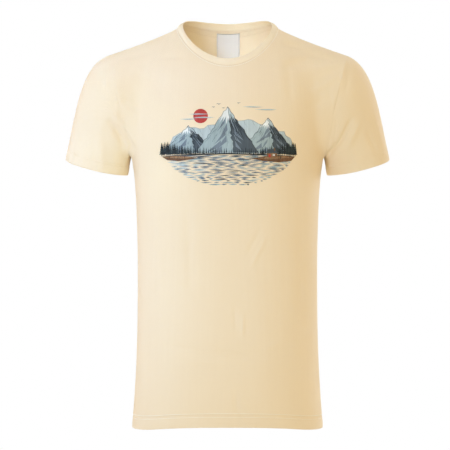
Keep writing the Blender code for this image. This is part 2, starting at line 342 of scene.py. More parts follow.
# the shirt's form, in metres; the same tables as the solids
cloth = {"jersey": 0.0008, "rib": 0.0008, "tape": 0.0008, "label": 0.0005, "seam": 0.0016, "gap": 0.0005}
foldReach = cloth["jersey"] + cloth["gap"] / 2  # how far a turned hem's fold comes below the cloth's first row
body = {
    # height, half width at the side seams, front depth, back depth
    "sections": (
        (-0.7125, 0.1685, 0.1180, 0.1120),
        (-0.660, 0.1645, 0.1170, 0.1095),
        (-0.600, 0.1612, 0.1155, 0.1055),
        (-0.540, 0.1594, 0.1150, 0.1010),
        (-0.480, 0.1588, 0.1160, 0.0980),
        (-0.420, 0.1588, 0.1195, 0.0975),
        (-0.360, 0.1600, 0.1255, 0.1000),
        (-0.300, 0.1625, 0.1320, 0.1050),
        (-0.262, 0.1655, 0.1360, 0.1090),
        (-0.236, 0.1685, 0.1380, 0.1120),
    ),
    "roundness": 2.4,
    "sideCrowding": 0.3,
    # distance from the middle, and how far the hem's edge lies above its lowest section there
    "frontEdge": ((0.00, 0.0060), (0.10, 0.0028), (0.15, -0.0028), (0.17, -0.0045)),
    "backEdge": ((0.00, 0.0010), (0.10, -0.0005), (0.15, -0.0032), (0.17, -0.0045)),
    "hem": 0.022,
    "stitchRows": (0.0180, 0.0243),
    "tip": (0.213, -0.0605),
    "shoulderDroop": 0.85,
    "neckShare": 0.5,
    "cornerSoftness": 0.13,
    "cornerFrom": 0.55,
    # share across, lower handle x, y, z, upper handle x, y, z
    "frontHandles": (
        (0.00, 0.000, 0.000, 0.055, 0.000, -0.027, -0.036),
        (0.25, 0.000, -0.001, 0.062, 0.016, -0.026, -0.034),
        (0.50, 0.000, -0.002, 0.075, 0.024, -0.046, -0.026),
        (0.75, 0.000, -0.006, 0.080, 0.004, -0.062, -0.016),
        (0.90, 0.000, -0.048, 0.045, -0.002, -0.076, -0.009),
        (1.00, 0.000, -0.092, 0.006, -0.006, -0.088, -0.004),
    ),
    "backHandles": (
        (0.00, 0.000, 0.003, 0.075, 0.000, 0.020, -0.052),
        (0.25, 0.000, 0.003, 0.078, 0.010, 0.028, -0.046),
        (0.50, 0.000, 0.003, 0.085, 0.022, 0.046, -0.030),
        (0.75, 0.000, 0.005, 0.088, 0.004, 0.060, -0.018),
        (0.90, 0.000, 0.046, 0.048, -0.002, 0.073, -0.010),
        (1.00, 0.000, 0.086, 0.006, -0.006, 0.084, -0.004),
    ),
    "columns": 156,
    "rowSpacing": 0.0048,
}
neck = {
    # half width, front depth, back depth, height at the sides, at the front and at the back
    "seam": (0.0880, 0.084, 0.084, -0.010, -0.083, -0.0078),
    "top": (0.0790, 0.075, 0.080, -0.0058, -0.071, 0.0053),
    "bow": 0.0008,
    "layers": 0.0018,
    "columns": 240,
    # fine rows beyond the seam, and before the fold
    "seamRows": (0.0, 0.0005, 0.0011, 0.0018, 0.0026),
    "foldRows": (0.0017, 0.0009),
    "rowSpacing": 0.0012,
}
sleeve = {
    "centre": (0.2318, 0.000, -0.2578),
    "outer": (0.0550, 0.000, 0.0144),
    "front": (0.0000, -0.054, -0.0080),
    # the handle at the armhole and the handle at the hem: at the outer side, at the front, at the underarm
    "handles": (
        (0.0480, 0.000, -0.020, -0.0190, 0.000, 0.085),
        (0.0200, -0.003, -0.034, -0.0120, -0.002, 0.045),
        (0.0050, 0.000, -0.007, -0.0035, 0.000, 0.010),
    ),
    # of the opening's outer and inner half, across and forward; 2 is an ellipse, and less is more pointed
    "roundness": ((2.4, 2.4), (1.8, 1.35)),
    "hem": 0.020,
    "stitchRows": (0.0150, 0.0200),
    "proud": 0.4,  # the stitches' grooves, as a share of those on the body's hem
    "columns": 132,
    "rowSpacing": 0.0045,
}
edgeRows = (0.0042, 0.0028, 0.0018, 0.0010, 0.0004, 0.0)  # fine rows before a seam
seamDip = {"depth": 0.0004, "armholeDepth": 0.0001, "width": 0.0016, "neckWidth": 0.0012}
hemGroove = {
    "swell": 0.00030,
    "swellWidth": 0.0055,
    "row": 0.00012,
    "rowWidth": 0.0008,
    "depth": 0.00065,
    "width": 0.0014,
}


def neckLine(ring, angle):
    halfWidth, front, back, sideZ, frontZ, backZ = ring
    mean = (frontZ + backZ) / 2
    twice = (mean - sideZ) / 2
    z = (mean + sideZ) / 2 + (frontZ - backZ) / 2 * np.cos(angle) + twice * np.cos(2 * angle)
    y = -np.where(np.cos(angle) > 0, front, back) * np.cos(angle)
    return np.stack((halfWidth * np.sin(angle), y, z), axis=-1)


def topLine(shares, facing):
    # the neck seam in the middle and a shoulder seam on each side
    middle = np.clip(shares, -body["neckShare"], body["neckShare"])
    angle = np.pi / 2 * middle / body["neckShare"]
    line = neckLine(neck["seam"], angle if facing < 0 else np.pi - angle)
    along = np.clip((np.abs(shares) - body["neckShare"]) / (1 - body["neckShare"]), 0, 1)
    tipX, tipZ = body["tip"]
    shoulderX = neck["seam"][0] + along * (tipX - neck["seam"][0])
    shoulderZ = neck["seam"][3] + (tipZ - neck["seam"][3]) * along ** body["shoulderDroop"]
    shoulder = np.stack((np.sign(shares) * shoulderX, np.zeros_like(shares), shoulderZ), axis=-1)
    return np.where((np.abs(shares) > body["neckShare"])[:, None], shoulder, line)


def sectionLine(heights, shares, facing):
    # points of the body below the armholes, for a row of heights under each share
    halfWidth, front, back = smoothTable(body["sections"], heights.ravel()).T.reshape(3, *heights.shape)
    angle = np.pi / 2 * shares * np.abs(shares) ** body["sideCrowding"]
    power = 2 / body["roundness"]
    x = halfWidth * np.sign(shares) * np.abs(np.sin(angle)) ** power
    y = facing * (front if facing < 0 else back) * np.abs(np.cos(angle)) ** power
    return np.stack((x, y, heights), axis=-1)


def columnShares():
    # even columns, with finer ones beside the side seams and where the neck meets the shoulders
    even = np.linspace(-1, 1, body["columns"] + 1)
    close = np.array((0.0016, 0.0036, 0.0062, 0.0095))
    shares = np.concatenate((even, 1 - close, close - 1, body["neckShare"] + close, -body["neckShare"] - close))
    return np.unique(np.round(shares, 5))


def panelColumns(facing):
    # fine points up each column, from the hem to the neck or shoulder seam
    shares = columnShares()[:: -facing]
    low, top = body["sections"][0][0], body["sections"][-1][0]
    hemX = sectionLine(np.full((1, len(shares)), low), shares, facing)[0, :, 0]
    edge = low + smoothTable(body["frontEdge" if facing < 0 else "backEdge"], np.abs(hemX), (1,))[:, 0]
    heights = edge + np.linspace(0, 1, 91)[:, None] * (top - edge)
    lower = sectionLine(heights, shares, facing)
    parity = (-1, 1, 1, -1, 1, 1)
    table = body["frontHandles"] if facing < 0 else body["backHandles"]
    handles = smoothTable(table, np.abs(shares), parity)
    handles[:, [0, 3]] *= np.sign(shares)[:, None]
    t = np.linspace(0, 1, 61)[1:]
    top = topLine(shares, facing)
    soft = softened(top, shares, body["cornerSoftness"])
    upper = bezier(lower[-1], handles[:, :3], handles[:, 3:], soft, t)
    late = np.clip((t - body["cornerFrom"]) / (1 - body["cornerFrom"]), 0, 1) ** 2
    upper += (top - soft) * late[:, None, None]
    points = np.concatenate((lower, upper))
    return eased(points, len(lower) - 1)


def softened(line, shares, width):
    # the line with its corners rounded off; its ends stay where they are
    weights = np.exp(-(((shares[:, None] - shares[None, :]) / width) ** 2))
    room = np.minimum(1, (1 - np.abs(shares)) / width)[:, None]
    spacing = np.gradient(shares)
    weights = weights * np.abs(spacing)[None, :]
    blurred = weights @ line / weights.sum(axis=1, keepdims=True)
    return line + (blurred - line) * room


def eased(points, row, reach=9, rounds=60):
    # takes the slight kink out where the body meets the chest, moving points only along their normals
    weight = np.exp(-(((np.arange(len(points)) - row) / reach) ** 2))[1:-1, None, None]
    for _ in range(rounds):
        pull = (points[2:] + points[:-2]) / 2 - points[1:-1]
        normals = outward(points)[1:-1]
        amount = np.sum(pull * normals, axis=-1, keepdims=True)
        amount[:, [0, -1]] = 0
        points = points.copy()
        points[1:-1] += 0.6 * weight * amount * normals
    return points


armhole = {
    "reach": 0.034,  # from the seam, as far as points move
    "kernel": 0.011,  # width over which their neighbours are averaged
    "beyond": 0.09,  # only points further from the middle than this are looked at
    # kept sharp round the shoulder point and the underarm point: radius, and width over which it softens
    "tipClear": (0.014, 0.030),
    "pitClear": (0.012, 0.035),
    "gain": 1.8,
    "passes": 3,
}


def ramp(value):
    value = np.clip(value, 0, 1)
    return value * value * (3 - 2 * value)


def pointAreas(points, closed):
    along = np.linalg.norm(np.gradient(points, axis=0), axis=-1)
    across = np.linalg.norm(np.gradient(points, axis=1), axis=-1)
    area = along * across
    if closed:
        area[:, -1] = 0
    return area


def softArmholes(forms):
    # fills the sharp valley between body and sleeve with a soft curve, alike for all cloths that meet there
    line = armholeLine(np.linspace(0, 2, 121))
    for _ in range(armhole["passes"]):
        places = np.concatenate([points.reshape(-1, 3) for points in forms.values()])
        normals = np.concatenate([facingOut(name, points).reshape(-1, 3) for name, points in forms.items()])
        areas = np.concatenate([pointAreas(points, name == "left").ravel() for name, points in forms.items()])
        near = np.flatnonzero(places[:, 0] > armhole["beyond"])
        distance = np.min(np.linalg.norm(places[near, None] - line[None], axis=-1), axis=1)
        source = near[(distance < armhole["reach"] + 2.4 * armhole["kernel"])][::3]
        share = ramp(1 - distance / armhole["reach"])
        for point, (radius, width) in ((line[0], armhole["tipClear"]), (line[60], armhole["pitClear"])):
            share *= ramp((np.linalg.norm(places[near] - point, axis=-1) - radius) / width)
        moved = places.copy()
        for part in np.array_split(np.flatnonzero(share > 0), 30):
            here = places[near[part]]
            squares = np.sum(here**2, axis=1)[:, None] + np.sum(places[source] ** 2, axis=1)
            apart = squares - 2 * here @ places[source].T
            pull = np.exp(-np.maximum(apart, 0) / (2 * armhole["kernel"] ** 2)) * areas[source]
            pull /= pull.sum(axis=1, keepdims=True)
            facing = unit(pull @ normals[source])
            rise = np.sum((pull @ places[source] - here) * facing, axis=1)
            lift = np.maximum(rise, 0) * armhole["gain"] * share[part]
            moved[near[part]] = here + lift[:, None] * facing
        ends = np.cumsum([points.shape[0] * points.shape[1] for points in forms.values()])[:-1]
        for name, part in zip(list(forms), np.split(moved, ends)):
            points = part.reshape(forms[name].shape)
            forms[name] = points if name == "left" else np.where(points[..., :1] >= 0, points, mirrored(points))
    forms["right"] = mirrored(forms["left"])
    return forms


def facingOut(name, points):
    return -outward(points, closed=True) if name == "left" else outward(points)


# each fold in millimetres: from x, z to x, z, its height and its half width; seen from the front
frontFolds = (
    # left sleeve and armpit
    (-201, -160, -156, -226, 3.5, 5.0),
    (-208, -174, -166, -233, -5.1, 7.0),
    (-191, -177, -159, -233, -2.2, 3.5),
    (-223, -173, -219, -264, 2.2, 8.0),
    (-252, -176, -256, -253, -1.4, 9.0),
    (-193, -134, -147, -164, -2.4, 4.5),
    (-183, -155, -148, -180, 1.4, 4.0),
    (-209, -69, -211, -129, 1.4, 3.2),
    (-218, -72, -220, -132, -1.3, 4.0),
    # left shoulder
    (-133, -56, -196, -70, -1.6, 5.0),
    (-118, -69, -72, -66, -1.4, 5.0),
    (-156, -83, -135, -115, 1.2, 6.0),
    # right sleeve and armpit
    (217, -173, 191, -224, -4.5, 4.0),
    (201, -207, 166, -249, -3.8, 4.0),
    (175, -195, 185, -233, 2.2, 5.0),
    (232, -176, 206, -232, 2.4, 5.0),
    (242, -193, 267, -244, -2.2, 5.0),
    (256, -160, 277, -238, 1.3, 3.5),
    (207, -69, 193, -129, 1.8, 3.0),
    (215, -72, 204, -134, -1.8, 4.0),
    # right shoulder and beside the neck
    (202, -78, 137, -89, 2.2, 4.5),
    (199, -97, 145, -130, 2.2, 5.0),
    (191, -93, 146, -107, -1.6, 3.2),
    (189, -139, 134, -152, -1.6, 6.0),
    (120, -54, 199, -75, -2.0, 5.0),
    (92, -40, 141, -50, -3.0, 5.5),
    (86, -74, 140, -65, 1.8, 4.5),
    (93, -87, 131, -80, -1.4, 4.0),
    (104, -75, 110, -151, -1.8, 8.0),
    # body
    (-69, -304, -64, -481, -2.2, 7.0),
    (-116, -310, -120, -533, 2.2, 11.0),
    (-123, -567, -34, -577, -2.0, 3.6),
    (-42, -576, 62, -588, -1.8, 3.6),
    (-99, -591, 28, -601, 1.2, 5.0),
    (26, -509, 26, -552, 2.0, 2.8),
    (11, -499, 14, -543, -1.4, 2.8),
    (69, -375, 38, -435, 1.6, 3.0),
    (59, -363, 31, -415, -1.2, 3.0),
    (125, -310, 128, -548, -2.6, 7.0),
    (14, -636, 18, -707, -1.4, 5.0),
    (59, -575, 107, -554, 1.2, 6.0),
)
backFolds = (
    (-150, -250, -100, -150, 2.0, 9.0),
    (150, -250, 100, -150, 2.0, 9.0),
    (-160, -232, -118, -120, -1.5, 9.0),
    (160, -232, 118, -120, -1.5, 9.0),
    (-186, -262, -222, -190, 1.6, 7.0),
    (186, -262, 222, -190, 1.6, 7.0),
    (-60, -250, -82, -640, 1.0, 17.0),
    (-12, -260, -20, -600, -1.0, 18.0),
    (40, -250, 52, -640, 1.1, 17.0),
    (90, -300, 104, -690, -0.9, 16.0),
    (-118, -320, -128, -690, -0.9, 15.0),
    (-120, -440, -30, -462, -1.0, 10.0),
    (-20, -470, 110, -446, 1.1, 11.0),
    (20, -492, 130, -478, -0.9, 9.0),
)


def foldHeight(x, z, table):
    height = np.zeros_like(x)
    for *ends, tall, wide in table:
        x1, z1, x2, z2 = (end / 1000 for end in ends)
        length = math.hypot(x2 - x1, z2 - z1)
        along = ((x - x1) * (x2 - x1) + (z - z1) * (z2 - z1)) / length**2
        aside = ((x - x1) * (z2 - z1) - (z - z1) * (x2 - x1)) / length
        taper = np.sin(np.pi * np.clip(along, 0, 1)) ** 0.8
        height += tall / 1000 * np.exp(-((aside / (wide / 1000)) ** 2)) * taper
    return height


def softWaves(x, z, turn):
    # the slow unevenness of hanging cloth, under a millimetre
    wave = 0.35 * np.sin(52 * x + 3.1 * np.sin(5.0 * z + turn) + turn)
    wave += 0.25 * np.sin(31 * x - 6.0 * z + 2 * turn)
    wave += 0.18 * np.sin(88 * x + 2.2 * np.sin(9.0 * z) + 3 * turn)
    # fine upright ripples where the cloth hangs free below the chest
    ripples = np.exp(-(((x - 0.065) / 0.05) ** 2) - (((z + 0.42) / 0.12) ** 2))
    wave += 0.13 * ripples * np.sin(430 * x + 1.5 * np.sin(14 * z))
    return wave / 1000


def withFolds(points, normals, turn):
    # folds go by the side that a point faces, and die out along the shirt's outline
    x, z = points[..., 0], points[..., 2]
    back = 1.6 * normals[..., 1]
    height = np.clip(-back, 0, 1) * (foldHeight(x, z, frontFolds) + softWaves(x, z, turn))
    return height + np.clip(back, 0, 1) * (foldHeight(x, z, backFolds) + softWaves(x, z, turn + 2.0))


# folds grow faint beside a seam, by the share that is lost there, and on a hem, down to the share that is
# kept there; the second number is how far that reaches
foldFade = {
    "side": (0.6, 0.012),
    "top": (1.0, 0.012),
    "armhole": (0.65, 0.012),
    "bodyHem": (0.35, 0.05),
    "sleeveHem": (0.3, 0.04),
}


def faintAt(seam, distance):
    lost, reach = foldFade[seam]
    return 1 - lost * bell(distance, reach)


def faintUnder(hem, upRun):
    kept, reach = foldFade[hem]
    return kept + (1 - kept) * np.clip(upRun / reach, 0, 1)


def bell(distance, width):
    return np.exp(-((distance / width) ** 2))


def dip(distance, depth=seamDip["depth"], width=seamDip["width"]):
    return -depth * bell(distance, width)


def hemRelief(upRun, rows, proud=1.0):
    # the cloth sinks between the two rows of stitches and a little under each of them
    distance = upRun + foldReach
    relief = hemGroove["swell"] * bell(distance - rows[0] * 0.5, hemGroove["swellWidth"])
    for row in rows:
        relief -= hemGroove["row"] * proud * bell(distance - row, hemGroove["rowWidth"])
    return relief - hemGroove["depth"] * proud * bell(distance - np.mean(rows), hemGroove["width"])



def hemDistances(width):
    # fine rows over the hem and its stitches, from just above the fold
    fold = np.linspace(foldReach, width - 0.008, 10)
    return np.concatenate((fold, np.linspace(width - 0.0072, width + 0.0056, 17)))


def folded(outer, normals, half, bend):
    # the middle of cloth laid double: the layer inside, the fold beyond the grid's first row, the layer outside
    up = unit(outer[1:2] - outer[:1])
    turns = np.linspace(np.pi, 0, 9)[1:-1, None, None]
    centre = outer[:1] - (half + bend) * normals[:1]
    fold = centre + bend * (normals[:1] * np.cos(turns) - up * np.sin(turns))
    return (outer - (half + 2 * bend) * normals)[::-1], fold, outer - half * normals


def turnedHem(outer, normals, width):
    # the turned-up band inside, its fold at the hem's edge and the cloth outside, from the hem up
    half = cloth["jersey"] / 2
    inside, fold, outside = folded(outer, normals, half, half + cloth["gap"] / 2)
    rows = int(np.sum(runLength(outer, 0)[:, 0] < width))
    return np.concatenate((inside[-rows - 1 :], fold, outside))


def makePanel(name, facing, turn):
    points = forms["front" if facing < 0 else "back"]
    normals = outward(points)
    acrossRun = runLength(points, 1)
    toSide = np.minimum(acrossRun, acrossRun[:, -1:] - acrossRun)
    upRun = runLength(points, 0)
    toTop = upRun[-1:] - upRun
    calm = faintAt("side", toSide) * faintAt("top", toTop) * faintUnder("bodyHem", upRun)
    height = withFolds(points, normals, turn) * calm
    besideSleeve = ramp((points[..., 2] - body["sections"][-1][0]) / 0.02)
    sideDepth = seamDip["depth"] - (seamDip["depth"] - seamDip["armholeDepth"]) * besideSleeve
    height += dip(toSide, sideDepth) + dip(toTop) + hemRelief(upRun, body["stitchRows"])
    outer = points + height[..., None] * normals
    normals = outward(outer)
    middle = turnedHem(outer, normals, body["hem"])
    uv = metreUv(middle, middle.shape[1] // 2)
    return clothPiece(name, middle, uv, cloth["jersey"], jersey), outer, normals


def armholeLine(turns):
    # from the shoulder tip down the front's edge to the underarm, then up the back's edge
    underarm = sectionLine(np.full((1, 1), body["sections"][-1][0]), np.array((1.0,)), -1)[0]
    tip = np.array(((body["tip"][0], 0, body["tip"][1]),))
    frontEdge, backEdge = (np.array(body[key][-1][1:]) for key in ("frontHandles", "backHandles"))
    onFront = bezier(underarm, frontEdge[:3], frontEdge[3:], tip, 1 - np.clip(turns, 0, 1))[:, 0]
    onBack = bezier(underarm, backEdge[:3], backEdge[3:], tip, np.clip(turns - 1, 0, 1))[:, 0]
    return np.where((turns <= 1)[:, None], onFront, onBack)


def sleeveColumns():
    turns = np.linspace(0, 2, sleeve["columns"] + 1)
    angle = turns * np.pi
    centre, outer, fore = (np.array(sleeve[key]) for key in ("centre", "outer", "front"))
    across, forward = (
        np.sign(v) * np.abs(v) ** np.where(np.cos(angle) > 0, 2 / outerPower, 2 / innerPower)
        for v, outerPower, innerPower in zip((np.cos(angle), np.sin(angle)), *sleeve["roundness"])
    )
    end = centre + outer * across[:, None] + fore * forward[:, None]
    first, side, last = (np.array(row) for row in sleeve["handles"])
    even = (first + 2 * side + last) / 4
    once, twice = (first - last) / 2, (first - 2 * side + last) / 4
    handles = even + once * np.cos(angle)[:, None] + twice * np.cos(2 * angle)[:, None]
    handles[:, [1, 4]] = side[[1, 4]] * np.sin(angle)[:, None]
    return bezier(armholeLine(turns), handles[:, :3], handles[:, 3:], end, np.linspace(0, 1, 81))


def mirrored(grid):
    return grid[:, ::-1] * np.array((-1, 1, 1))


def panelForm(facing):
    return resample(panelColumns(facing), hemDistances(body["hem"]), edgeRows, body["rowSpacing"])


def sleeveForm(columns):
    # from the hem up, so that the hem's rows keep their distances
    return resample(columns[::-1], hemDistances(sleeve["hem"]), edgeRows, sleeve["rowSpacing"])


forms = softArmholes({"front": panelForm(-1), "back": panelForm(1), "left": sleeveForm(sleeveColumns())})
print("forms made")
frontCloth, frontOuter, frontNormals = makePanel("front_cloth", -1, 0.4)
backCloth, backOuter, backNormals = makePanel("back_cloth", 1, 2.6)
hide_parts("front_panel", "hem_front")
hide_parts("back_panel", "hem_back")
print("front and back made")


def makeSleeve(side, turn):
    points = forms[side]
    normals = -outward(points, closed=True)
    upRun = runLength(points, 0)
    toArmhole = upRun[-1:] - upRun
    calm = faintAt("armhole", toArmhole) * faintUnder("sleeveHem", upRun)
    height = withFolds(points, normals, turn) * calm
    groove = hemRelief(upRun, sleeve["stitchRows"], sleeve["proud"])
    height += dip(toArmhole, seamDip["armholeDepth"]) + groove
    outer = points + height[..., None] * normals
    normals = -outward(outer, closed=True)
    middle = turnedHem(outer, normals, sleeve["hem"])
    uv = metreUv(middle, 0)[::-1]
    piece = clothPiece("sleeve_cloth_" + side, middle[::-1], uv, cloth["jersey"], jersey, closed=True)
    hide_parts("sleeve_" + side, "sleeve_hem_" + side)
    return piece, outer, normals


leftSleeve, leftOuter, leftNormals = makeSleeve("left", 1.1)
rightSleeve, rightOuter, rightNormals = makeSleeve("right", 4.0)
print("sleeves made")


def makeNeckband():
    # a strip of rib folded double; the fold is the band's top edge
    angle = np.linspace(0, 2 * np.pi, neck["columns"] + 1)
    seam, top = neckLine(neck["seam"], angle), neckLine(neck["top"], angle)
    out = np.stack((np.sin(angle), -np.cos(angle), 0 * angle), axis=-1)
    rise = np.linspace(0, 1, 41)[:, None, None]
    raw = seam + (top - seam) * rise + out * neck["bow"] * np.sin(np.pi * rise)
    outer = resample(raw, neck["seamRows"], neck["foldRows"], neck["rowSpacing"])
    normals = outward(outer, closed=True)
    upRun = runLength(outer, 0)
    outer = outer + dip(upRun, width=seamDip["neckWidth"])[..., None] * normals
    half, bend = cloth["rib"] / 2, (neck["layers"] - cloth["rib"]) / 2
    middle = np.concatenate(folded(outer[::-1], normals[::-1], half, bend))[::-1]
    piece = clothPiece("neckband_rib", middle, metreUv(middle, 0), cloth["rib"], rib, closed=True)
    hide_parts("neckband")
    return piece


neckRib = makeNeckband()
print("neckband made")


# tapes, seam allowances and labels, laid on the inside of the cloth
def strip(outer, normals, rows, columns, depth):
    # a patch of the cloth's inside: rows are distances from the grid's first row, columns are fractional
    run = runLength(outer, 0)
    inside = outer - depth * normals
    made = np.empty((len(rows), len(columns), 3))
    for index, column in enumerate(columns):
        low = min(int(column), outer.shape[1] - 2)
        one, two = (alongLine(rows, run[:, beside], inside[:, beside]) for beside in (low, low + 1))
        made[:, index] = one * (1 - column + low) + two * (column - low)
    return made


def columnAt(outer, row, distance, backwards=False):
    # the fractional column at a distance along a row from the grid's first or last column
    run = runLength(outer, 1)[row]
    return np.interp(run[-1] - distance if backwards else distance, run, np.arange(len(run)))


insideDepth = cloth["jersey"] + cloth["gap"]
clearance = {"allowance": 0.0009, "tape": 0.0007, "neckLabel": 0.0009, "careLabel": 0.0006}  # beyond that depth
# the grid row along which distances across are measured
measuredRow = {"side": 30, "careLabel": 34, "neckLabel": 8}
# how far the strips lie from their seams
sideColumns = (0.0004, 0.0018, 0.0035, 0.0052, 0.0070)
armholeRows = np.linspace(0.0016, 0.0072, 6)
shoulderRows = np.linspace(0.0022, 0.0110, 7)
neckRows = np.linspace(0.0022, 0.0118, 8)


def placeStrip(name, node, points, thickness, material, closed=False):
    # the strip's outer face lies at the points, and its thickness goes towards the wearer
    piece = clothPiece(name, points, metreUv(points, 0), thickness, material, closed, offset=-1.0)
    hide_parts(node)
    return piece


overlocked = {"side": [], "armhole": []}  # the line and the facing that each allowance's threads follow


def allowance(seam, side, outer, normals, rows, columns, middle):
    depth = insideDepth + clearance["allowance"]
    points = strip(outer, normals, rows, columns, depth)
    deeper = strip(outer, normals, rows, columns, depth + cloth["seam"])
    overlocked[seam].append((deeper[middle], unit(deeper - points)[middle]))
    names = f"{seam}_allowance_{side}", f"{seam}_seam_{side}"
    return placeStrip(*names, points, cloth["seam"], jersey, closed=seam == "armhole")


def sideSeams():
    # from just above the hem to just below the underarm
    underarm = body["sections"][-1][0] - body["sections"][0][0]
    rows = np.linspace(body["hem"] + 0.003, underarm - 0.004, 150)
    made = []
    for side, backwards in (("left", False), ("right", True)):
        row = measuredRow["side"]
        columns = np.sort([columnAt(backOuter, row, distance, backwards) for distance in sideColumns])
        made.append(allowance("side", side, backOuter, backNormals, rows, columns, (slice(None), 2)))
    return made


def armholeSeams():
    made = []
    for side, outer, normals in (("left", leftOuter, leftNormals), ("right", rightOuter, rightNormals)):
        columns = np.arange(outer.shape[1], dtype=float)
        made.append(allowance("armhole", side, outer[::-1], normals[::-1], armholeRows, columns, 3))
    return made


sideAllowances = sideSeams()
armholeAllowances = armholeSeams()


def tapes():
    shares = columnShares()
    neckColumn = float(np.searchsorted(shares, -body["neckShare"]))
    lastColumn = float(len(shares) - 1)
    farColumn = lastColumn - neckColumn
    made = []
    for name, node, rows, first, last, count in (
        ("shoulder_tape_cloth_left", "shoulder_tape_left", shoulderRows, 1.5, neckColumn - 4, 60),
        ("shoulder_tape_cloth_right", "shoulder_tape_right", shoulderRows, farColumn + 4, lastColumn - 1.5, 60),
        ("neck_tape_cloth", "neck_tape", neckRows, neckColumn + 3, farColumn - 3, 120),
    ):
        columns = np.linspace(first, last, count)
        points = strip(backOuter[::-1], backNormals[::-1], rows, columns, insideDepth + clearance["tape"])
        made.append(placeStrip(name, node, points, cloth["tape"], tapeCloth))
    return made


label = {"width": 0.0435, "height": 0.055, "top": 0.0045, "aside": 0.0016}
careLabel = {"width": 0.020, "height": 0.048, "bottom": 0.070, "aside": 0.0006}


def makeNeckLabel():
    middle = (backOuter.shape[1] - 1) // 2
    run = runLength(backOuter[::-1], 1)[measuredRow["neckLabel"]]
    half = label["width"] / 2
    columns = np.interp(np.linspace(-half, half, 25) + run[middle] - label["aside"], run, np.arange(len(run)))
    rows = np.linspace(label["top"], label["top"] + label["height"], 29)
    depth = insideDepth + cloth["tape"] + cloth["gap"] + clearance["neckLabel"]
    points = strip(backOuter[::-1], backNormals[::-1], rows, columns, depth)
    return placeStrip("neck_label_cloth", "neck_label", points, cloth["label"], satin), points


def makeCareLabel():
    across = np.linspace(careLabel["aside"], careLabel["width"], 13)
    columns = np.sort([columnAt(frontOuter, measuredRow["careLabel"], distance, True) for distance in across])
    rows = np.linspace(careLabel["bottom"], careLabel["bottom"] + careLabel["height"], 25)
    points = strip(frontOuter, frontNormals, rows, columns, insideDepth + clearance["careLabel"])
    return placeStrip("care_label_cloth", "care_label", points, cloth["label"], satin)


tapePieces = tapes()
neckLabel, neckLabelPoints = makeNeckLabel()
careLabelCloth = makeCareLabel()
print("tapes and labels made")


# stitches
stitch = {
    "length": 0.0029,
    "radius": 0.00042,
    "pitch": 0.0033,
    "raised": 0.00016,
    # its ends: where they begin as a share of its half length, how thin they are, and how far they dive
    "ends": (0.45, 0.45, 0.9),
}
hemThreads = {"body": (0.00036, 0.00052), "sleeve": (0.00034, 0.00034)}  # radius of the lower and upper row
# the looper's threads inside a hem: how far above the lower needle row, and their turn
looper = ((0.0009, 0.7), (0.0028, -0.7))


def oneStitch():
    # a short thread that dives into the cloth at both ends
    endsFrom, thin, dive = stitch["ends"]
    bpy.ops.object.select_all(action="DESELECT")
    bpy.ops.mesh.primitive_cylinder_add(vertices=6, radius=1, depth=2, end_fill_type="TRIFAN")
    made = bpy.context.object
    bpy.ops.object.mode_set(mode="EDIT")
    for height in (endsFrom, -endsFrom):
        bpy.ops.mesh.select_all(action="SELECT")
        bpy.ops.mesh.bisect(plane_co=(0, 0, height), plane_no=(0, 0, 1))
    bpy.ops.object.mode_set(mode="OBJECT")
    faceOutwards(made)
    vertices = np.array([v.co for v in made.data.vertices])
    vertices[np.abs(vertices[:, 2]) > 0.8, :2] *= thin
    vertices[:, 1] -= dive * vertices[:, 2] ** 4
    faces = [tuple(p.vertices) for p in made.data.polygons]
    bpy.data.objects.remove(made)
    return vertices, faces


stitchVertices, stitchFaces = oneStitch()


def sewn(name, paths, material=thread):
    # copies of the stitch along paths of points, normals, pitch, thread size and turn, joined in one piece
    vertices, faces = [], []
    step = 0.0005  # a stitch points the way that the line runs this far to each side of it
    for line, normals, pitch, length, radius, turned in paths:
        run = np.concatenate(([0], np.cumsum(np.linalg.norm(np.diff(line, axis=0), axis=1))))
        count = int(run[-1] / pitch)
        places = (np.arange(count) + 0.5) * run[-1] / count
        at = alongLine(places, run, line)
        along = unit(alongLine(places + step, run, line) - alongLine(places - step, run, line))
        aside = unit(np.cross(unit(alongLine(places, run, normals)), along))
        face = np.cross(along, aside)
        along, aside = (
            along * math.cos(turned) + aside * math.sin(turned),
            aside * math.cos(turned) - along * math.sin(turned),
        )
        size = np.array((radius, radius, length / 2))
        for index in range(count):
            base = len(vertices)
            turn = np.stack((aside[index], face[index], along[index]))
            placed = (stitchVertices * size) @ turn + at[index] + stitch["raised"] * face[index]
            vertices.extend(placed.tolist())
            faces.extend([tuple(base + v for v in f) for f in stitchFaces])
    piece = newPiece(name, vertices, faces)
    piece.data.shade_smooth()
    piece.data.materials.append(material)
    faceOutwards(piece)
    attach(piece, "root")
    return piece


def stitchRow(line, normals, turned=0.0, **changed):
    sizes = dict(stitch, **changed)
    return line, normals, sizes["pitch"], sizes["length"], sizes["radius"], turned


def hemPaths(outer, normals, rows, trim, radii):
    # needle rows outside, and the looper's slanted threads inside
    paths = []
    deep = 2 * cloth["jersey"] + cloth["gap"]
    keep = slice(trim, outer.shape[1] - trim)
    for row, radius in zip(rows, radii):
        line, facing = rowAt(outer, row - foldReach), unit(normalsAt(outer, normals, row))
        paths.append(stitchRow(line[keep], facing[keep], radius=radius))
    for above, slant in looper:
        row = rows[0] + above
        line = rowAt(outer, row - foldReach) - deep * unit(normalsAt(outer, normals, row))
        paths.append(stitchRow(line[keep], -facing[keep], slant, length=0.0034))
    return paths


def normalsAt(outer, normals, distance):
    return normals[np.argmin(np.abs(runLength(outer, 0)[:, 0] - distance))]


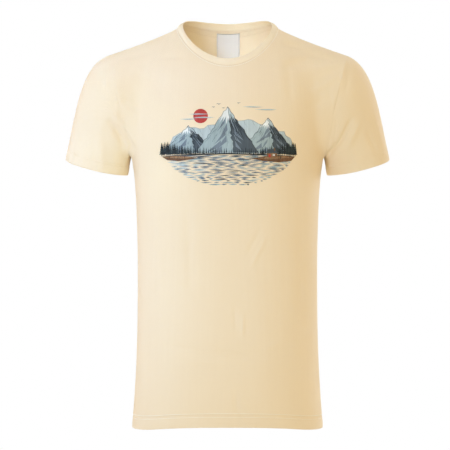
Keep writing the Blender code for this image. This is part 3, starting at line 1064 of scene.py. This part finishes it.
frontPaths = hemPaths(frontOuter, frontNormals, body["stitchRows"], 3, hemThreads["body"])
backPaths = hemPaths(backOuter, backNormals, body["stitchRows"], 3, hemThreads["body"])
bodyStitches = sewn("hem_stitches", frontPaths + backPaths)
sleeveRow = (sleeve["stitchRows"], 0, hemThreads["sleeve"])
leftStitches, rightStitches = (
    sewn("sleeve_stitches_" + side, hemPaths(outer, normals, *sleeveRow), creamThread)
    for side, outer, normals in (("left", leftOuter, leftNormals), ("right", rightOuter, rightNormals))
)


def neckStitchPaths():
    # one row on the body just outside the neck seam, front and back
    inner = np.flatnonzero(np.abs(columnShares()) < body["neckShare"] - 0.004)
    return [
        stitchRow(rowAt(outer, edgeRows[0])[inner], normalsAt(outer, normals, edgeRows[0])[inner])
        for outer, normals in ((frontOuter[::-1], frontNormals[::-1]), (backOuter[::-1], backNormals[::-1]))
    ]


def labelStitchPaths():
    # a dense dark row along the label's top and finer ones just inside its sides
    facing = -outward(neckLabelPoints)
    facing = facing * -np.sign(facing[..., 1].mean())
    lifted = neckLabelPoints + facing * cloth["label"]
    top = 0.8 * lifted[0] + 0.2 * lifted[1]
    paths = [stitchRow(top, facing[0], pitch=0.0021, length=0.0023, radius=0.00038)]
    for column in (1, -2):
        line = lifted[:, column], facing[:, column]
        paths.append(stitchRow(*line, pitch=0.0023, length=0.0023, radius=0.00016))
    return paths


def overlock(line, inward):
    # threads that slant across an allowance one way and the other
    sizes = {"pitch": 0.0034, "length": 0.0060, "radius": 0.0003}
    return [stitchRow(line, inward, slant, **sizes) for slant in (1.15, -1.35)]


leftLoops, rightLoops = (overlock(*path) for path in overlocked["side"])
sideThreads = sewn("side_overlock", leftLoops + rightLoops)
armholeThreads = [
    sewn("armhole_overlock_" + side, overlock(*path))
    for side, path in zip(("left", "right"), overlocked["armhole"])
]
neckStitches = sewn("neck_stitches", neckStitchPaths())
labelStitches = sewn("label_stitches", labelStitchPaths(), labelThread)
print("stitches sewn")


# the chest print: a made-up lake and mountains in slate, teal and brown inks
printPlace = {
    "x": 0.0010,
    "z": -0.2243,
    "base": 0.00012,  # above the cloth
    "step": 0.00005,  # from one ink to the next
    "film": 0.00004,
    "cell": 0.004,  # it is cut in squares of this size, so that it can follow the cloth
    "cut": ((0, -0.120, 0.122), (2, -0.304, -0.146)),
}
inks = {
    "sun": (0.445, 0.040, 0.030),
    "mist": (0.430, 0.510, 0.520),
    "pale": (0.300, 0.385, 0.400),
    "slate": (0.150, 0.195, 0.235),
    "deep": (0.055, 0.075, 0.092),
    "ink": (0.0035, 0.0085, 0.0110),
    "pine": (0.012, 0.026, 0.029),
    "snow": (0.700, 0.735, 0.700),
    "snowShade": (0.400, 0.470, 0.480),
    "bark": (0.150, 0.070, 0.030),
    "earth": (0.330, 0.190, 0.090),
}
draw = random.Random(11)
shapes = []


def shape(points, inkName, level):
    # a flat outline in millimetres from the print's middle
    shapes.append((points, inkName, level))


def between(a, b, share):
    return (a[0] + (b[0] - a[0]) * share, a[1] + (b[1] - a[1]) * share)


def jagged(a, b, steps, size):
    # a broken line from a to b
    length = math.hypot(b[0] - a[0], b[1] - a[1])
    across = (-(b[1] - a[1]) / length, (b[0] - a[0]) / length)
    line = [a]
    for step in range(1, steps):
        x, y = between(a, b, (step + draw.uniform(-0.25, 0.25)) / steps)
        off = draw.uniform(-size, size)
        line.append((x + across[0] * off, y + across[1] * off))
    return line + [b]


def stroke(points, widths, inkName, level):
    # a pen line whose width changes along it
    left, right = [], []
    for index, (x, y) in enumerate(points):
        before, after = points[max(index - 1, 0)], points[min(index + 1, len(points) - 1)]
        dx, dy = after[0] - before[0], after[1] - before[1]
        length = math.hypot(dx, dy) or 1.0
        share = index / (len(points) - 1)
        width = np.interp(share, np.linspace(0, 1, len(widths)), widths) / 2
        left.append((x - dy / length * width, y + dx / length * width))
        right.append((x + dy / length * width, y - dx / length * width))
    shape(left + right[::-1], inkName, level)


def onSlope(one, other, row, share):
    low = min(int(row), len(one) - 2)
    mix = row - low
    return between(between(one[low], one[low + 1], mix), between(other[low], other[low + 1], mix), share)


def peak(apex, leftFoot, rightFoot, ridgeFoot, snowRow, level):
    steps = 16
    left = jagged(apex, leftFoot, steps, 1.5)
    right = jagged(apex, rightFoot, steps, 1.5)
    ridge = jagged(apex, ridgeFoot, steps, 2.2)
    shape(left + ridge[::-1], "pale", level)
    shape(ridge + right[::-1], "deep", level)
    for side, inkName, count in ((left, "slate", 6), (right, "slate", 5)):
        for index in range(count):
            row = 4 + index * 1.9 + draw.uniform(-0.4, 0.4)
            share = draw.uniform(0.05, 0.5)
            tip = onSlope(ridge, side, min(row + draw.uniform(3.5, 6), steps), share + draw.uniform(0.15, 0.35))
            wide = onSlope(ridge, side, min(row + 2.2, steps), share - 0.02)
            shape([onSlope(ridge, side, row, share), wide, tip], inkName, level + 1)
    for side, inkName in ((left, "snow"), (right, "snowShade")):
        zig = []
        for step in range(1, 8):
            row = snowRow * (0.62 if step % 2 else 1.0) * draw.uniform(0.9, 1.1)
            zig.append(onSlope(ridge, side, row, step / 8))
        rows = int(snowRow)
        shape(ridge[: rows + 1] + zig + side[: rows + 1][::-1][:-1], inkName, level + 2)
    # pen strokes down both slopes: how many, first share and spread, rows, lengths, slant, widths, ink
    for side, count, first, spread, rows, lengths, slant, widths, inkName in (
        (right, 26, 0.06, 0.88, (2.5, 9.5), (2.0, 5.0), 0.03, (0.55, 0.5, 0.08), "ink"),
        (left, 16, 0.05, 0.9, (4.5, 11.0), (1.5, 3.5), 0.04, (0.08, 0.42, 0.08), "deep"),
    ):
        for index in range(count):
            share = first + spread * (index + draw.uniform(-0.3, 0.3)) / count
            row, reach = draw.uniform(*rows), draw.uniform(*lengths)
            points = [onSlope(ridge, side, min(row + reach * t, steps), share + slant * t) for t in (0, 0.5, 1)]
            stroke(points, widths, inkName, level + 3)
    for line, widths in ((left, (0.5, 0.6, 0.3)), (right, (0.6, 0.7, 0.4)), (ridge, (0.6, 0.5, 0.1))):
        stroke(line, widths, "ink", level + 3)


def pineTree(x, base, height, level):
    width = height * draw.uniform(0.34, 0.42)
    foot, top = base - 0.6, base + height * 0.9
    shape([(x - 0.35, foot), (x + 0.35, foot), (x + 0.2, top), (x - 0.2, top)], "ink", level)
    tiers = 5
    for tier in range(tiers):
        low = base + height * (0.10 + 0.18 * tier)
        reach = width / 2 * (1 - tier / (tiers + 0.6))
        tip = height * 0.30
        edge = ((-reach, 0), (-reach * 0.3, 0.5), (0, -0.3), (reach * 0.35, 0.5), (reach, 0), (0, tip))
        inkName = "pine" if draw.random() < 0.6 else "ink"
        shape([(x + dx, low + dy) for dx, dy in edge], inkName, level + 1 + tier % 2)


def lens(x1, x2, y, thick, inkName, level):
    middle = (x1 + x2) / 2 + draw.uniform(-0.15, 0.15) * (x2 - x1)
    farEnd = (x2, y + draw.uniform(-0.2, 0.2))
    shape([(x1, y), (middle, y + thick / 2), farEnd, (middle, y - thick / 2)], inkName, level)


def drawSky():
    sunX, sunY, sunSize = -47.0, 50.0, 12.5
    turns = np.linspace(0, 2 * math.pi, 49)[:-1]
    shape([(sunX + sunSize * math.cos(turn), sunY + sunSize * math.sin(turn)) for turn in turns], "sun", 0)
    clouds = [(-70, -30, 53.5, 2.0), (-62, -22, 47.5, 2.4), (-84, -52, 45.0, 1.7)]
    clouds += [(24, 62, 66.0, 1.8), (44, 84, 61.5, 2.2)]
    for x1, x2, y, thick in clouds:
        lens(x1, x2, y, thick, "mist", 1)
        lens(x1 + 6, x2 - 4, y - 0.9, 0.5, "slate", 2)
    for x, y, size in ((-16, 70, 4.2), (-25, 65, 3.2), (18, 72, 3.0), (-8, 63.5, 2.4)):
        for side in (-1, 1):
            wing = [(x, y), (x + side * size * 0.45, y + size * 0.42), (x + side * size, y + size * 0.12)]
            stroke(wing, (0.75, 0.6, 0.12), "ink", 2)


def drawRange():
    tops = ((-112, -6), (-84, 20), (-34, 34), (34, 44), (96, 24), (117, -6))
    skyline = [tops[0]]
    for a, b in zip(tops, tops[1:]):
        skyline += jagged(a, b, 7, 4.0)[1:]
    shape(skyline + [(117, -14), (-112, -14)], "mist", 1)
    stroke(skyline, (0.3, 0.5, 0.3), "slate", 2)
    for x, y in skyline[2:-2:2]:
        stroke([(x, y - 1), (x + 2, y - 6), (x + 6, y - 12)], (0.5, 0.4, 0.08), "slate", 2)
    peak((-68, 34), (-112, -12), (-22, -12), (-58, -12), 5.4, 3)
    peak((68, 47), (20, -12), (114, -12), (80, -12), 5.0, 3)
    peak((-1, 66), (-54, -13), (52, -13), (9, -13), 5.8, 7)


def drawWoods():
    x = -114.0
    while x < 116:
        middle = abs(x) / 115
        height = 6 + 15 * middle**1.6 + draw.uniform(-2, 2.5)
        pineTree(x, -13.5 - 4.0 * middle + draw.uniform(-1.0, 0.6), height, 11)
        x += draw.uniform(2.2, 4.4) * (1.15 - 0.3 * middle)
    upper = [(-116, -18.5), (-60, -15.0), (0, -13.6), (60, -15.0)]
    lower = [(117, -18.5), (60, -17.2), (0, -15.6), (-60, -17.2)]
    shape(upper + lower, "ink", 13)


def drawLake():
    outerWater, innerWater = ("slate", "pale", "pale", "mist"), ("deep", "slate", "slate", "pale")
    y = -18.0
    while y > -68:
        depth = (-y - 16) / 54
        half = 112 * math.sqrt(max(0.02, 1 - depth**1.7))
        x = -half * draw.uniform(0.92, 1.0)
        while x < half - 3:
            length = draw.uniform(12, 40) * (1.15 - 0.6 * depth)
            inkName = draw.choice(outerWater if abs(x + length / 2) > 46 else innerWater)
            lens(x, min(x + length, half), y + draw.uniform(-0.4, 0.4), draw.uniform(1.6, 2.9), inkName, 1)
            if draw.random() < 0.4:
                lens(x + 2, min(x + length * 0.7, half), y - 0.9, 0.55, "ink", 2)
            x += length * 0.9 + draw.uniform(0.0, 6.0) * (0.2 + depth)
        y -= 2.0 + 1.3 * depth


def drawShore():
    leftBank = [(-113, -19), (-96, -17.5), (-70, -19), (-52, -22), (-66, -24.5), (-84, -27), (-104, -25)]
    rightBank = [(114, -19), (98, -17.5), (64, -18.5), (40, -23), (58, -26.5), (86, -29), (108, -26)]
    shape(leftBank, "bark", 14)
    shape([(-110, -20), (-92, -18.6), (-68, -20), (-60, -21.5), (-80, -23)], "earth", 15)
    shape(rightBank, "bark", 14)
    shape([(110, -20), (96, -18.6), (66, -19.8), (50, -22.5), (72, -24)], "earth", 15)
    furrows = [(-102, -66, -22.5), (-92, -72, -24.6), (52, 96, -22.6), (62, 88, -25.2), (70, 104, -20.8)]
    for x1, x2, y in furrows:
        stroke([(x1, y), ((x1 + x2) / 2, y + 0.5), (x2, y)], (0.1, 0.5, 0.1), "ink", 16)
    for _ in range(44):
        x = draw.choice((draw.uniform(-108, -56), draw.uniform(46, 110)))
        base = -21.5 + draw.uniform(-2.5, 1.0)
        lean = draw.uniform(-1.2, 1.2)
        reed = [(x, base), (x + lean * 0.4, base + 2.2), (x + lean, base + draw.uniform(3.2, 5.4))]
        stroke(reed, (0.5, 0.4, 0.08), "ink", 17)


def drawCabin(x, y, level):
    # log walls, a dark roof, a chimney, a red door and a window
    def block(x1, y1, x2, y2, inkName, above, slope=0.0):
        outline = ((x1, y1), (x2, y1), (x2 - slope, y2), (x1 + slope, y2))
        shape([(x + dx, y + dy) for dx, dy in outline], inkName, level + above)

    block(0, 0, 17, 7.5, "bark", 0)
    for row in range(5):
        lens(x - 0.8, x + 17.8, y + 0.9 + row * 1.5, 0.9, "earth", level + 1)
    block(-2, 7, 19, 13.6, "deep", 1, 3.5)
    for row in range(3):
        height = y + 8.8 + row * 1.7
        stroke([(x - 0.8 + row, height), (x + 17.8 - row, height)], (0.35, 0.35), "ink", level + 2)
    block(12, 10.5, 14, 16, "bark", 3)
    block(3, 0, 6.2, 5.2, "sun", 3)
    block(10, 2.4, 13.4, 5.4, "snow", 3)
    stroke([(x + 11.7, y + 2.4), (x + 11.7, y + 5.4)], (0.4, 0.4), "ink", level + 4)


def inkMaterial(name, colour):
    thin, thick = tuple(min(1.0, c * 1.35 + 0.03) for c in colour), tuple(c * 0.85 for c in colour)
    printed = {"grooveShade": 0.25, "streaks": 1.6, "clouds": 1.2, "roughness": 0.62, "sheen": 0.0}
    look = lookLike(jerseyLook, thin, thick, **printed)
    return knitMaterial("print" + name[0].upper() + name[1:], look, coordinates="Object")


def makePrint():
    drawSky()
    drawRange()
    drawLake()
    drawWoods()
    drawShore()
    drawCabin(66.0, -20.5, 17)
    names = list(inks)
    vertices, faces, which = [], [], []
    for points, inkName, level in shapes:
        outline = [Vector((x / 1000 + printPlace["x"], -level, y / 1000 + printPlace["z"])) for x, y in points]
        flat = [Vector((p.x, p.z, 0)) for p in outline]
        base = len(vertices)
        vertices += [tuple(p) for p in outline]
        for triangle in tessellate_polygon([flat]):
            faces.append(tuple(base + corner for corner in triangle))
            which.append(names.index(inkName))
    piece = newPiece("chest_print", vertices, faces)
    for name in names:
        piece.data.materials.append(inkMaterial(name, inks[name]))
    piece.data.polygons.foreach_set("material_index", which)
    makeActive(piece)
    bpy.ops.object.mode_set(mode="EDIT")
    cell = printPlace["cell"]
    for axis, low, high in printPlace["cut"]:
        for place in np.arange(math.ceil(low / cell), math.floor(high / cell) + 1) * cell:
            point, facing = [0, 0, 0], [0, 0, 0]
            point[axis], facing[axis] = place, 1
            bpy.ops.mesh.select_all(action="SELECT")
            bpy.ops.mesh.bisect(plane_co=point, plane_no=facing)
    bpy.ops.object.mode_set(mode="OBJECT")
    layOnCloth(piece)
    return piece


def layOnCloth(piece):
    # each point drops straight back on the front's cloth; later inks lie a hair above earlier ones
    tree = BVHTree.FromObject(frontCloth, bpy.context.evaluated_depsgraph_get())
    for vertex in piece.data.vertices:
        level = -vertex.co.y
        hit = tree.ray_cast(Vector((vertex.co.x, -1.0, vertex.co.z)), Vector((0, 1, 0)))[0]
        vertex.co.y = hit.y - printPlace["base"] - level * printPlace["step"]
    faceOutwards(piece)
    for polygon in piece.data.polygons:
        if polygon.normal.y > 0:
            polygon.flip()
    film = piece.modifiers.new("film", "SOLIDIFY")
    film.thickness = printPlace["film"]
    film.offset = -1
    applyAll(piece)
    piece.data.shade_flat()
    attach(piece, "root")


chestPrint = makePrint()
print("chest printed:", len(chestPrint.data.polygons), "faces")


# camera, floor and light
camera = {"place": (-0.0044, -3.2, -0.360), "lens": 144.4, "sensor": 36, "far": 100}
bpy.ops.object.camera_add(location=camera["place"], rotation=(math.pi / 2, 0, 0))
eye = bpy.context.object
eye.data.lens = camera["lens"]
eye.data.sensor_width = camera["sensor"]
eye.data.clip_end = camera["far"]
bpy.context.scene.camera = eye
bpy.context.scene.view_settings.view_transform = "Standard"

floorLook = {
    "height": -1.5,
    "radius": 30.0,
    "clear": (1.0, 3.5),
    "colour": (0.86, 0.86, 0.86, 1),
    "roughness": 0.9,
}


def makeFloor():
    # pale near the shirt, and as bright as the backdrop further off; seen from below it is clear
    bpy.ops.mesh.primitive_circle_add(vertices=96, radius=floorLook["radius"], fill_type="TRIFAN")
    floor = bpy.context.object
    floor.name = "floor"
    floor.data.transform(Matrix.Translation((0, 0, floorLook["height"])))
    made = bpy.data.materials.new("paleFloor")
    made.use_nodes = True
    tree = made.node_tree
    shader = tree.nodes["Principled BSDF"]
    feed(tree, shader, {"Roughness": floorLook["roughness"], "Base Color": floorLook["colour"]})
    glow = addNode(tree, "Emission", {"Color": (1, 1, 1, 1), "Strength": 1.0})
    place = addNode(tree, "TexCoord", {}).outputs["Object"]
    length = addNode(tree, "VectorMath", {0: place}, operation="LENGTH").outputs["Value"]
    near, far = (math.hypot(reach, floorLook["height"]) for reach in floorLook["clear"])
    fade = addNode(tree, "MapRange", {"From Min": near, "From Max": far, "Value": length}).outputs["Result"]
    share = mathNode(tree, "MULTIPLY", fade, addNode(tree, "LightPath", {}).outputs["Is Camera Ray"])
    above = addNode(tree, "MixShader", {0: share, 1: shader.outputs[0], 2: glow.outputs[0]})
    behind = addNode(tree, "NewGeometry", {}).outputs["Backfacing"]
    clear = addNode(tree, "BsdfTransparent", {})
    either = addNode(tree, "MixShader", {0: behind, 1: above.outputs[0], 2: clear.outputs[0]})
    feed(tree, tree.nodes["Material Output"], {"Surface": either.outputs[0]})
    floor.data.materials.append(made)


makeFloor()

# name, place, what it is aimed at, size, spread in degrees, power in watts, colour
lamps = (
    ("windowPool", (-1.4, -2.5, 0.3), (-0.35, 0.0, -0.35), 0.6, 25, 1.5, (0.32, 0.54, 1.00)),
    ("leftSide", (-3.6, -0.8, 0.1), (0.0, 0.0, -0.4), 2.4, 180, 24.8, (0.73, 0.76, 1.00)),
    ("rightSide", (3.6, -0.8, 0.1), (0.0, 0.0, -0.4), 2.4, 180, 12.8, (1.00, 0.43, 0.06)),
    ("top", (-0.3, -0.3, 1.6), (0.0, 0.0, -0.3), 1.2, 180, 11, (0.52, 0.64, 1.00)),
    ("front", (0.0, -2.9, 0.4), (0.0, 0.0, -0.3), 1.0, 180, 18.8, (1.00, 0.95, 0.75)),
    ("rimLeft", (-2.4, 2.0, 0.2), (0.0, 0.0, -0.35), 1.6, 180, 18.6, (1.00, 0.72, 0.43)),
    ("rimRight", (2.4, 2.0, 0.2), (0.0, 0.0, -0.35), 1.6, 180, 59.3, (0.58, 0.74, 1.00)),
    ("neckLeft", (-0.9, -1.7, 0.95), (0.012, 0.078, -0.03), 0.06, 4, 0.0114, (0.50, 0.74, 1.00)),
    ("insideLeft", (-0.045, -0.05, -0.2), (0.03, 0.08, -0.03), 0.08, 140, 0.03, (1.00, 0.86, 0.60)),
    ("insideRight", (0.02, -0.05, -0.2), (0.062, 0.085, -0.03), 0.08, 80, 0.03, (1.00, 0.98, 0.88)),
    ("armpitLeft", (0.92, -2.4, -0.55), (-0.185, -0.02, -0.262), 0.05, 3, 0.0026, (0.60, 1.00, 1.00)),
    ("behind", (0.8, 1.8, 0.6), (0.0, 0.0, -0.3), 1.4, 180, 1, (1.00, 0.98, 0.95)),
)
for name, place, aim, size, spread, power, colour in lamps:
    bpy.ops.object.light_add(type="AREA", location=place)
    lamp = bpy.context.object
    lamp.name = name
    lamp.data.size = size
    lamp.data.spread = math.radians(spread)
    lamp.data.energy = power
    lamp.data.color = colour
    lamp.visible_camera = False
    lamp.rotation_euler = (Vector(aim) - Vector(place)).to_track_quat("-Z", "Y").to_euler()

# the studio's light is cooler on the window's side and warmer on the other, and the backdrop is white
studio = {"strength": 0.592, "cool": (0.96, 0.92, 0.80, 1), "warm": (0.97, 0.81, 0.45, 1)}
world = bpy.data.worlds.new("studio")
bpy.context.scene.world = world
world.use_nodes = True
sky = world.node_tree
seen = sky.nodes["Background"]
feed(sky, seen, {"Color": (1, 1, 1, 1), "Strength": 1.0})
direction = addNode(sky, "SeparateXYZ", {0: addNode(sky, "TexCoord", {}).outputs["Generated"]})
side = mathNode(sky, "MULTIPLY_ADD", direction.outputs[0], 0.5, 0.5, clamp=True)
tint = mixColours(sky, side, studio["cool"], studio["warm"])
lit = addNode(sky, "Background", {"Color": tint, "Strength": studio["strength"]})
rays = addNode(sky, "LightPath", {}).outputs["Is Camera Ray"]
either = addNode(sky, "MixShader", {0: rays, 1: lit.outputs[0], 2: seen.outputs[0]})
feed(sky, sky.nodes["World Output"], {"Surface": either.outputs[0]})
print("studio set")
